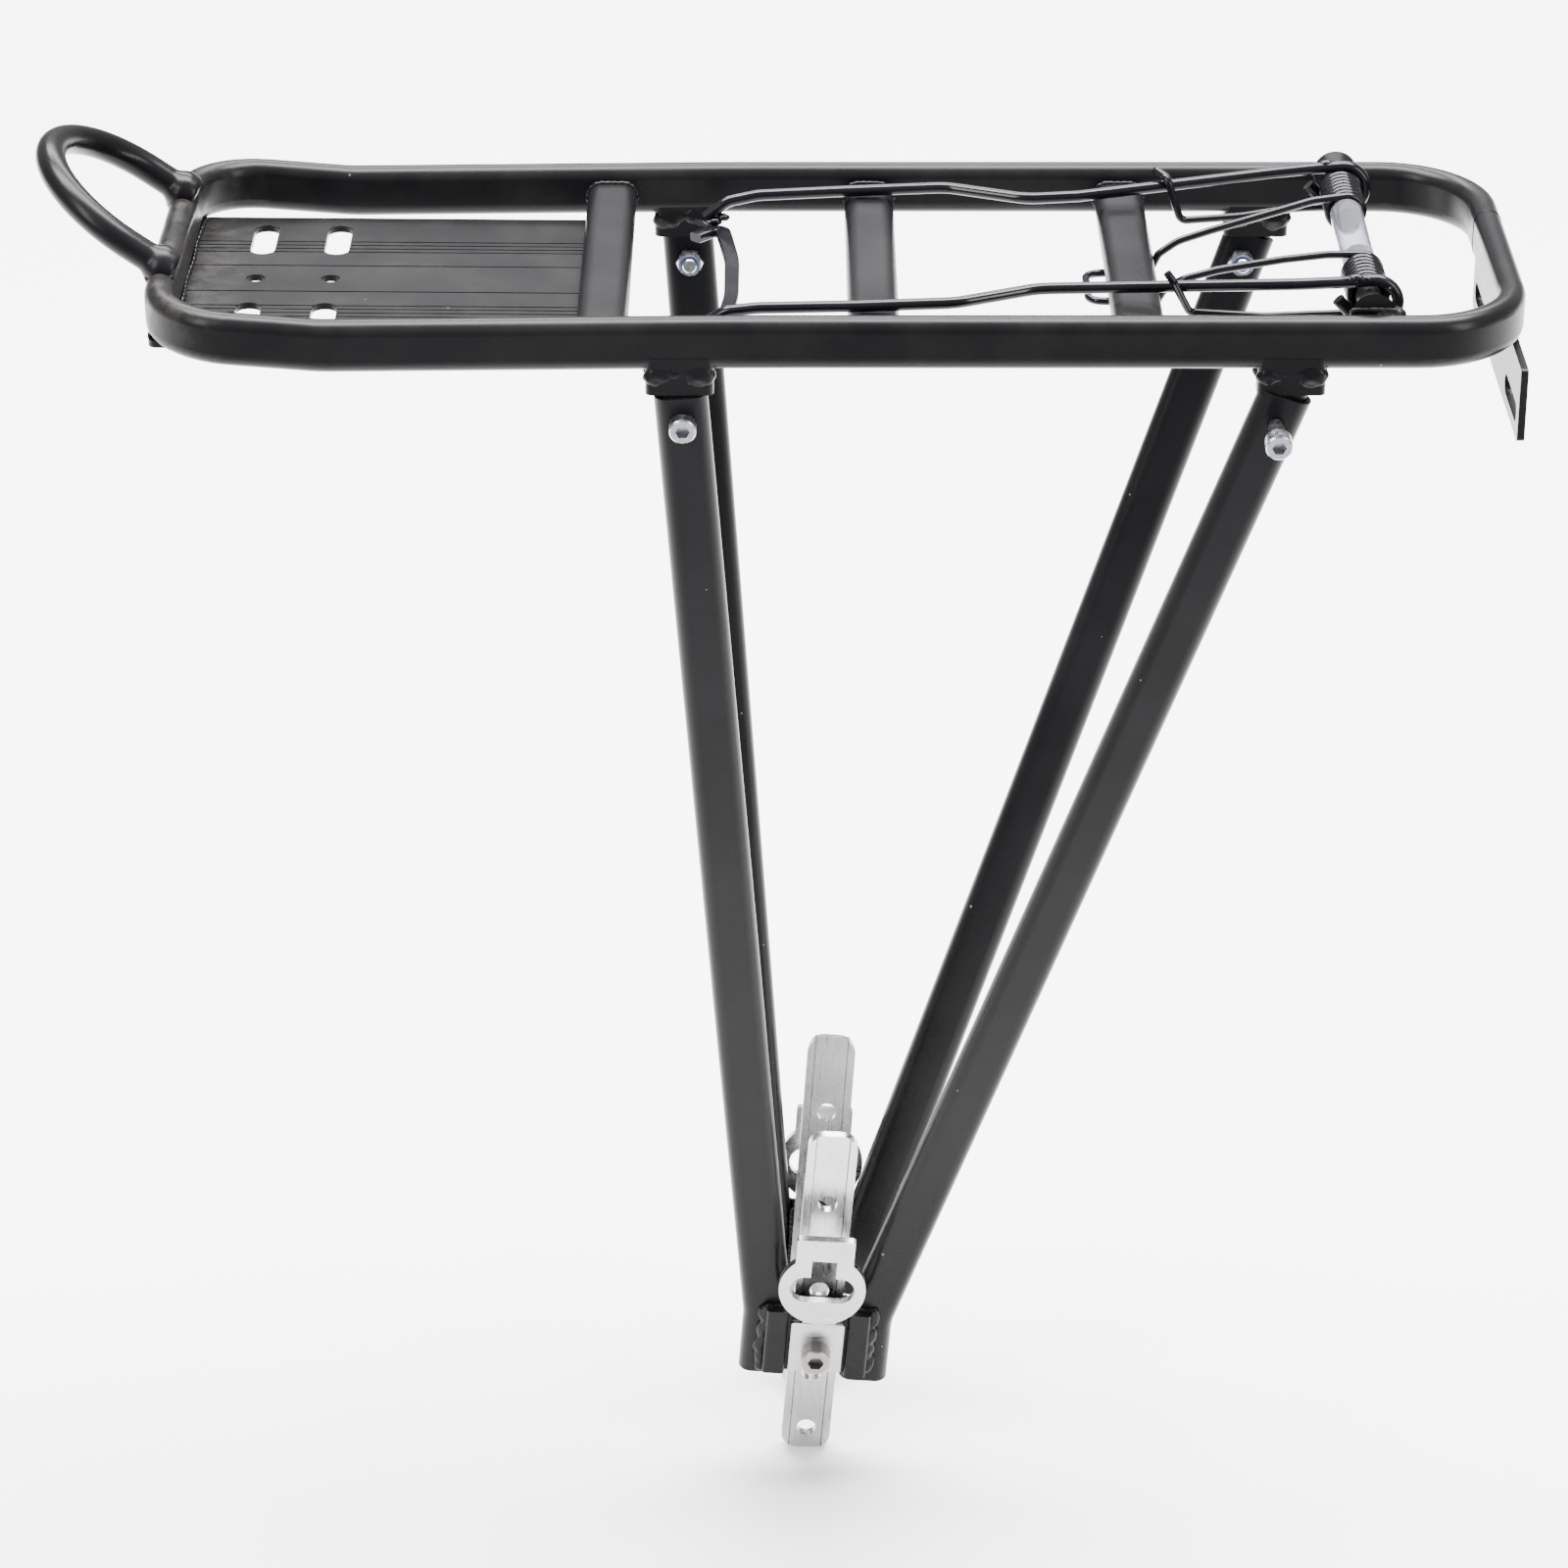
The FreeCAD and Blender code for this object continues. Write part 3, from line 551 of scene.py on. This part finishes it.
# --------------------------------------------------------------- clamp wires
ARM = [(-26.5, 47.5, -3.0), (-19.0, 48.9, 2.2), (-9.0, 50.2, 3.9), (22.0, 51.4, 4.95),
       (53.0, 51.6, 6.1), (79.0, 40.2, 6.4), (96.0, 40.9, 7.0), (160.0, 49.9, 11.7)]
ex, ez = ARM[-1][0] - EYE_X, ARM[-1][2] - EYE_Z
a0 = atan2(ez, ex) - acos(EYE_R / math.hypot(ex, ez))
e0 = (EYE_X + EYE_R * cos(a0), EYE_Y, EYE_Z + EYE_R * sin(a0))
inl = (ARM[-1][0] * 0.35 + e0[0] * 0.65, EYE_Y, ARM[-1][2] * 0.35 + e0[2] * 0.65)
for sgn, sd in ((-1, "right"), (1, "left")):
    P = fillet(ARM + [inl, e0], [8.0, 20.0, 60.0, 18.0, 18.0, 30.0, 40.0, 25.0], 1.0)
    A = np.linspace(a0, a0 - EYE_SWEEP, 60)[1:]
    E = np.stack([EYE_X + EYE_R * np.cos(A), np.full(len(A), EYE_Y), EYE_Z + EYE_R * np.sin(A)], 1)
    tail = E[-1] + np.linspace(0.1, 1, 9)[:, None] * EYE_TAIL * np.array([sin(A[-1]), 0, -cos(A[-1])])
    P = np.vstack([P, E, tail])
    P[:, 1] *= sgn
    # the shears leave a slightly squashed, square end
    sc = np.ones(len(P)); sc[-3:] = (1.02, 1.05, 1.06)
    w = make("clamp_wire_" + sd, [sweep_arrays(P, circle(WIRE_R, 20), scale=sc)], WIRE, "clamp", 35)
    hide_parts("clamp_arm_" + sd)
    # rough weld where the curl is closed on the arm
    b = make("eye_weld_" + sd, [blob((EYE_X + dx, sgn * (EYE_Y + 0.3), EYE_Z + EYE_R + dz), r, 40 + i + 9 * sgn, (1.5, 0.9, 0.75))
                               for i, (dx, dz, r) in enumerate(((-8.6, 0.3, 1.4), (-5.6, 0.7, 1.8), (-2.4, 0.6, 1.6)))], WIRE, "clamp")

# grip bar: bowed flat bar with rolled edges
gp = [(-29.5, -38.0), (-21.0, -47.0), (-19.4, -35.0), (-17.2, -16.0), (-17.2, 16.0), (-19.4, 35.0), (-21.0, 47.0), (-29.5, 38.0)]
P = smooth(fillet([(x, y, -6.4) for x, y in gp], [2.6, 20.0, 90.0, 90.0, 20.0, 2.6], 0.8), 2)
gb = make("grip_bar_bowed", [sweep_arrays(P, rrect(3.0, 4.8, 0.8), up=(0, 0, 1))], WIRE, "clamp", 40)
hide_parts("grip_bar")
make("grip_welds", [blob((-24.0, s * 47.3, -4.1), 2.1, 3 + s, (1.5, 1.0, 0.75)) for s in (-1, 1)] +
     [blob((-20.5, s * 47.6, -2.9), 1.6, 13 + s, (1.3, 1.0, 0.8)) for s in (-1, 1)], WIRE, "clamp")

# ------------------------------------------------------------ torsion spring
INNER = [(171.0, 24.2, 11.6), (158.0, 21.0, 8.8), (138.0, 17.6, 4.0), (127.0, 16.6, 0.6), (120.8, 15.4, -3.4), (118.2, 14.6, -8.5), (97.0, 11.6, -8.9)]
HOOK = [(166.0, 46.4, 0.6), (150.0, 44.0, -1.2), (129.6, 40.6, -1.4), (125.0, 41.4, 12.9), (121.4, 48.0, 13.5)]
HOOK_R = [(166.0, 46.7, 0.4), (150.0, 46.0, -0.6), (126.6, 45.2, 0.4), (120.6, 50.8, 13.2), (118.6, 50.0, 15.6)]
TURNS = 7.5
for sgn, sd in ((-1, "right"), (1, "left")):
    y0, y1 = 26.1, 47.3
    # from the top of the coil's inner end round to the bottom at its outer end
    a = np.linspace(0, TURNS * 2 * pi, int(TURNS * 40))
    hel = np.stack([PX + COIL_R * np.sin(a), y0 + (y1 - y0) * a / a[-1], PZ + COIL_R * np.cos(a)], 1)
    inner = fillet([(97.0, 0.0, -8.9)] + INNER[::-1] + [(PX, y0, PZ + COIL_R)], [4.5, 3.0, 4.0, 14.0, 40.0, 30.0, 20.0], 0.9)
    hook = HOOK if sgn > 0 else HOOK_R
    outer = fillet([(PX, y1, PZ - COIL_R)] + hook, [40.0, 40.0, 3.0, 3.0], 0.9)
    P = np.vstack([inner[:-1], hel, outer[1:]])
    P[:, 1] *= sgn
    sp = make("torsion_spring_" + sd, [sweep_arrays(P, circle(SPRING_R, 14), round_ends=0.3)], SPRINGW)
    k, aa = 21.3, 0.115
    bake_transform(sp)
    if sgn < 0:
        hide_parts("torsion_spring", "spring_hook_right")
    else:
        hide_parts("spring_hook_left")

# ----------------------------------------------------------------- rear hoop
ux, uz = -cos(radians(35.4)), sin(radians(35.4))


def hp(t, y):
    return np.array([-195.0 + ux * t, y, 10.8 + uz * t])


A = np.linspace(0, pi, 60)
P = [hp(t, -HOOP_R) for t in np.linspace(-1.5, 13.3, 9)] + [hp(13.3 + HOOP_R * sin(q), -HOOP_R * cos(q)) for q in A[1:-1]] + [hp(t, HOOP_R) for t in np.linspace(13.3, -1.5, 9)]
P = np.array(P)
# the weld collars swell the tube next to the frame
P2 = densify(P, 0.7)
t2 = (P2[:, 0] + 195.0) / ux
f2 = 1 + 0.40 * np.exp(-((t2 - 0.8) / 3.9) ** 4) + 0.05 * np.exp(-((t2 - 5.0) / 1.1) ** 2)
hoop = make("rear_hoop_tube", [sweep_arrays(P2, circle(HOOP_T, 28), scale=f2, round_ends=1.5)], BLACK, "rack")
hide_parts("rear_hoop")
hw = []
for i, s in enumerate((-1, 1)):
    c = hp(-2.0, s * HOOP_R)
    ring = []
    for q in np.linspace(0, 2 * pi, 60)[:-1]:
        # where the collar runs out on the tube's shoulder
        ring.append(c + np.array([sin(q) * 2.2 * -uz - 0.5, cos(q) * 7.0, -1.4 + sin(q) * 4.0]))
    hw.append(blob((-197.4, s * HOOP_R, 8.2), 6.4, 60 + i, (0.66, 1.06, 0.62)))
    hw.append(blob((-194.6, s * (HOOP_R + 4.6), 9.2), 3.2, 70 + i, (0.9, 1.0, 0.55)))
    hw.append(blob((-195.0, s * (HOOP_R - 4.8), 9.2), 3.0, 80 + i, (0.9, 1.0, 0.55)))
melt(make("hoop_welds", hw, WELD, "rack"))

# --------------------------------------------------------------- weld beads


def stadium_path(cx, cz, w, h, y, grow):
    r = h / 2 + grow
    hh = (w - h) / 2
    pts = []
    for q in np.linspace(-pi / 2, pi / 2, 16):
        pts.append((cx + hh + r * cos(q), y, cz + r * sin(q)))
    for q in np.linspace(pi / 2, 3 * pi / 2, 16):
        pts.append((cx - hh + r * cos(q), y, cz + r * sin(q)))
    pts.append(pts[0])
    return pts


w = []
for i, cx in enumerate(CROSS_X):
    for s in (-1, 1):
        w.append(bead(stadium_path(cx, CROSS_Z, CROSS_W, CROSS_H, s * (RIN + 0.05), 0.15), 0.95, 100 + 7 * i + s, closed=True, wob=0.3))
make("cross_tube_welds", w, WELD, "rack")

w = []
xb = REAR_X + 2.4
w.append(bead([(xb + 1.6, -52, -5.6), (xb + 1.6, 52, -5.6)], 1.1, 5, wob=0.3, drift=0.3, pitch=4.0))
w.append(bead([(REAR_X - 2.9, -51, -5.2), (REAR_X - 2.9, 51, -5.2)], 0.9, 6, wob=0.3, pitch=4.0))
w.append(bead([(CROSS_X[0] - 7.4, -51, -6.2), (CROSS_X[0] - 7.4, 51, -6.2)], 0.8, 8, wob=0.3))
make("plate_welds", w, WELD, "rack")
make("stay_plate_welds", [bead([(229.1, -32, -8.3), (229.1, 32, -8.3)], 1.2, 11, wob=0.35, pitch=3.4), bead([(232.0, -32, -6.6), (232.0, 32, -6.6)], 0.9, 12, wob=0.35, pitch=3.4)], WELD, "rack")

# lugs: beads along the rail and lumps at the corners
LEGS = {"rear": (-33.74, -0.07246), "front": (161.11, 0.3451)}
w = []
for name, (la, lb) in LEGS.items():
    c = la + lb * -12.5
    for s in (-1, 1):
        sd = 1 if name == "front" else 0
        g = np.random.default_rng(31 + int(c) % 7 + s)
        for face in (1, -1):
            for k, dx in enumerate((-6.2, -2.0, 2.3, 6.2)):
                r = 4.1 + 0.35 * g.uniform(-1, 1) + (0.5 if k in (0, 3) else -0.5)
                yb = RAIL_Y + (2.7 if face > 0 else -2.4)
                w.append(blob((c + dx, s * yb, -9.0 - 0.5 * g.uniform(0, 1) - (0.8 if k in (0, 3) else 0)), r, 300 + 11 * k + face + 3 * s, (1.15, 0.60, 0.90)))
        for dx in (-8.3, 8.1):
            w.append(blob((c + dx, s * (RAIL_Y + 0.3), -8.8), 2.3, 360 + s + int(dx), (0.8, 1.9, 1.1)))
melt(make("lug_welds", w, WELD, "rack"))

# foot brackets: wandering beads to the legs
w = []
for s in (-1, 1):
    for k, u in enumerate((-18.4, 18.4)):
        line = [side(foot(u + 0.5 * sin(v * 0.9 + k), -4.75, v), s) for v in np.linspace(-9.5, 16.2, 14)]
        w.append(bead(line, 2.3, 400 + k + s, wob=0.22, drift=0.5, pitch=8.0))
        w.append(blob(side(foot(u * 1.02, -4.9, 13.5), s), 2.5, 470 + k + s, (1.0, 0.7, 1.5)))
        w.append(blob(side(foot(u * 1.03, -4.9, -5.5), s), 2.2, 480 + k + s, (1.0, 0.7, 1.7)))
    for k, (u, y) in enumerate(((-9.0, 3.6), (9.0, 3.6))):
        line = [side(foot(u, y - 1.0, v), s) for v in np.linspace(-9.5, 16.2, 14)]
        w.append(bead(line, 1.0, 420 + k + s, wob=0.4))
    line = [side(foot(u, -4.6, 16.6 + 0.3 * sin(u)), s) for u in np.linspace(-17.5, -10.6, 6)]
    w.append(bead(line, 1.0, 440 + s, wob=0.35))
    line = [side(foot(u, -4.6, 16.6 + 0.3 * sin(u)), s) for u in np.linspace(10.6, 17.5, 6)]
    w.append(bead(line, 1.0, 450 + s, wob=0.35))
melt(make("foot_welds", w, WELD, "rack"), 0.00035, 3)

# painted shade: thin dark rods in the corners of the foot strips' channels, and along the rolled edge beside it,
# stand in for the shade there
w = []
for sg in (-1, 1):
    for u in (-5.75, 5.75):
        for y in (2.72, 5.68):
            line = [side(foot(u, y, v), sg) for v in np.linspace(-51.9, 84.9, 60)]
            w.append(sweep_arrays(np.array(line), circle(0.24, 6)))
make("strip_channel_painted_shade", w, CHANNEL_SHADE, "rack")

# pivot stubs: ring of weld on the rail
w = []
for s in (-1, 1):
    ring = [(PX + 6.7 * cos(q), s * (RIN - 0.2), min(PZ + 6.3 * sin(q), 8.8)) for q in np.linspace(0, 2 * pi, 50)]
    w.append(bead(ring, 1.1, 500 + s, closed=True, wob=0.35))
    w.append(blob((PX + 4.6, s * (RIN - 1.6), PZ - 1.4), 4.6, 510 + s, (1.25, 0.95, 0.95)))
    w.append(blob((PX + 2.6, s * (RIN - 5.0), PZ - 0.6), 3.9, 520 + s, (1.15, 1.1, 1.0)))
melt(make("pivot_welds", w, WELD, "rack"))

# butt weld of the deck tube, dressed nearly flush
hh, rr = (TUBE_H - TUBE_W) / 2, TUBE_W / 2 + 0.02
ring = []
for q in np.linspace(0, pi, 20):
    ring.append((FRONT_X + rr * cos(q), 24.0, hh + rr * sin(q)))
for q in np.linspace(pi, 2 * pi, 20):
    ring.append((FRONT_X + rr * cos(q), 24.0, -hh + rr * sin(q)))
ring.append(ring[0])
make("deck_butt_seam", [bead(ring, 0.2, 9, closed=True, wob=0.2)], WELD, "rack")

# ------------------------------------------------ nut inserts


def leg_point(lab, p, y):
    return np.array([lab[0] + lab[1] * p, y, p])


ins, thr = [], []
for name, lab in LEGS.items():
    for s in (-1, 1):
        c = side(leg_point(lab, -25.5, 4.45 + 4.9), s)
        c2 = side(leg_point(lab, -25.5, 4.45 + 5.2), s)
        n = (c2 - c) / np.linalg.norm(c2 - c)
        u = np.cross(n, (1, 0, 0)); u /= np.linalg.norm(u)
        v = np.cross(n, u)
        R = np.array([c + 2.95 * (cos(q) * u + sin(q) * v) for q in np.linspace(0, 2 * pi, 33)[:-1]])
        ins.append(sweep_arrays(R, circle(0.42, 8), closed=True, up=tuple(n)))
make("nylon_rings", ins, NYLON, "rack")

# ---------------------------------------------------------------- the studio
lo, hi = cad_bounds
floor_z = float(lo[2])
bpy.ops.mesh.primitive_plane_add(size=14, location=(0, 2.0, floor_z))
fl = bpy.context.object
fl.name = "floor"
fm = Mat("floor_pale_with_painted_shade", (0.95, 0.95, 0.95), 0.85, spec=0.1)
fsep = fm.n("ShaderNodeSeparateXYZ")
fm.link(fm.co, fsep.inputs[0])
pale = fm.mix(fm.noise(3, 2, 0.5), (0.945, 0.945, 0.948), (0.96, 0.96, 0.96))
# painted shade: the floor is dark in front of the rack, towards the camera, and pale behind it, so the black
# faces reflect a dark floor
fm.set("Base Color", fm.mix(fm.rng(fsep.outputs[1], -2.65, -2.2, 0.0, 1.0), (0.26, 0.26, 0.27), pale))
fl.data.materials.append(fm.m)

world = bpy.data.worlds.new("studio")
bpy.context.scene.world = world
world.use_nodes = True
bg = world.node_tree.nodes["Background"]
bg.inputs[0].default_value = (1.0, 1.0, 1.0, 1)
bg.inputs[1].default_value = 0.55


def area(name, loc, target, size, power, color=(1, 1, 1)):
    L = bpy.data.lights.new(name, "AREA")
    L.shape = "RECTANGLE"
    L.size, L.size_y = size
    L.energy = power
    L.color = color
    o = bpy.data.objects.new(name, L)
    o.location = loc
    d = Vector(target) - Vector(loc)
    o.rotation_euler = d.to_track_quat("-Z", "Y").to_euler()
    bpy.context.scene.collection.objects.link(o)
    return o


mid = Vector((-0.23, 0.0, -0.15))
area("top", (-0.2, 0.35, 2.1), (-0.2, 0.35, -0.4), (2.8, 1.0), 470)
area("back", (-0.2, 2.7, 2.5), (-0.2, 2.4, -0.4), (3.0, 1.2), 330)
area("front_left", (-1.5, -1.3, 0.9), mid, (0.4, 1.3), 34)
area("front_right", (1.2, -1.1, 0.5), mid, (0.3, 1.3), 26)

# ---------------------------------------------------------------- the camera
TH, F = radians(26.85), 5310.0
Z0 = F / 3.3 + 68.64 * cos(TH)
UP0 = 167.75
fwd = np.array([0, cos(TH), -sin(TH)])
upv = np.array([0, sin(TH), cos(TH)])
C = -Z0 * fwd - UP0 * upv + np.array([-0.43, 0, 0])
cam = bpy.data.cameras.new("camera")
cam.sensor_width = 36.0
cam.lens = F / 1600.0 * 36.0
cam.clip_end = 50
co = bpy.data.objects.new("camera", cam)
co.location = M(*C)
co.rotation_euler = (pi / 2 - TH, 0, 0)
bpy.context.scene.collection.objects.link(co)
bpy.context.scene.camera = co

bpy.context.view_layer.update()
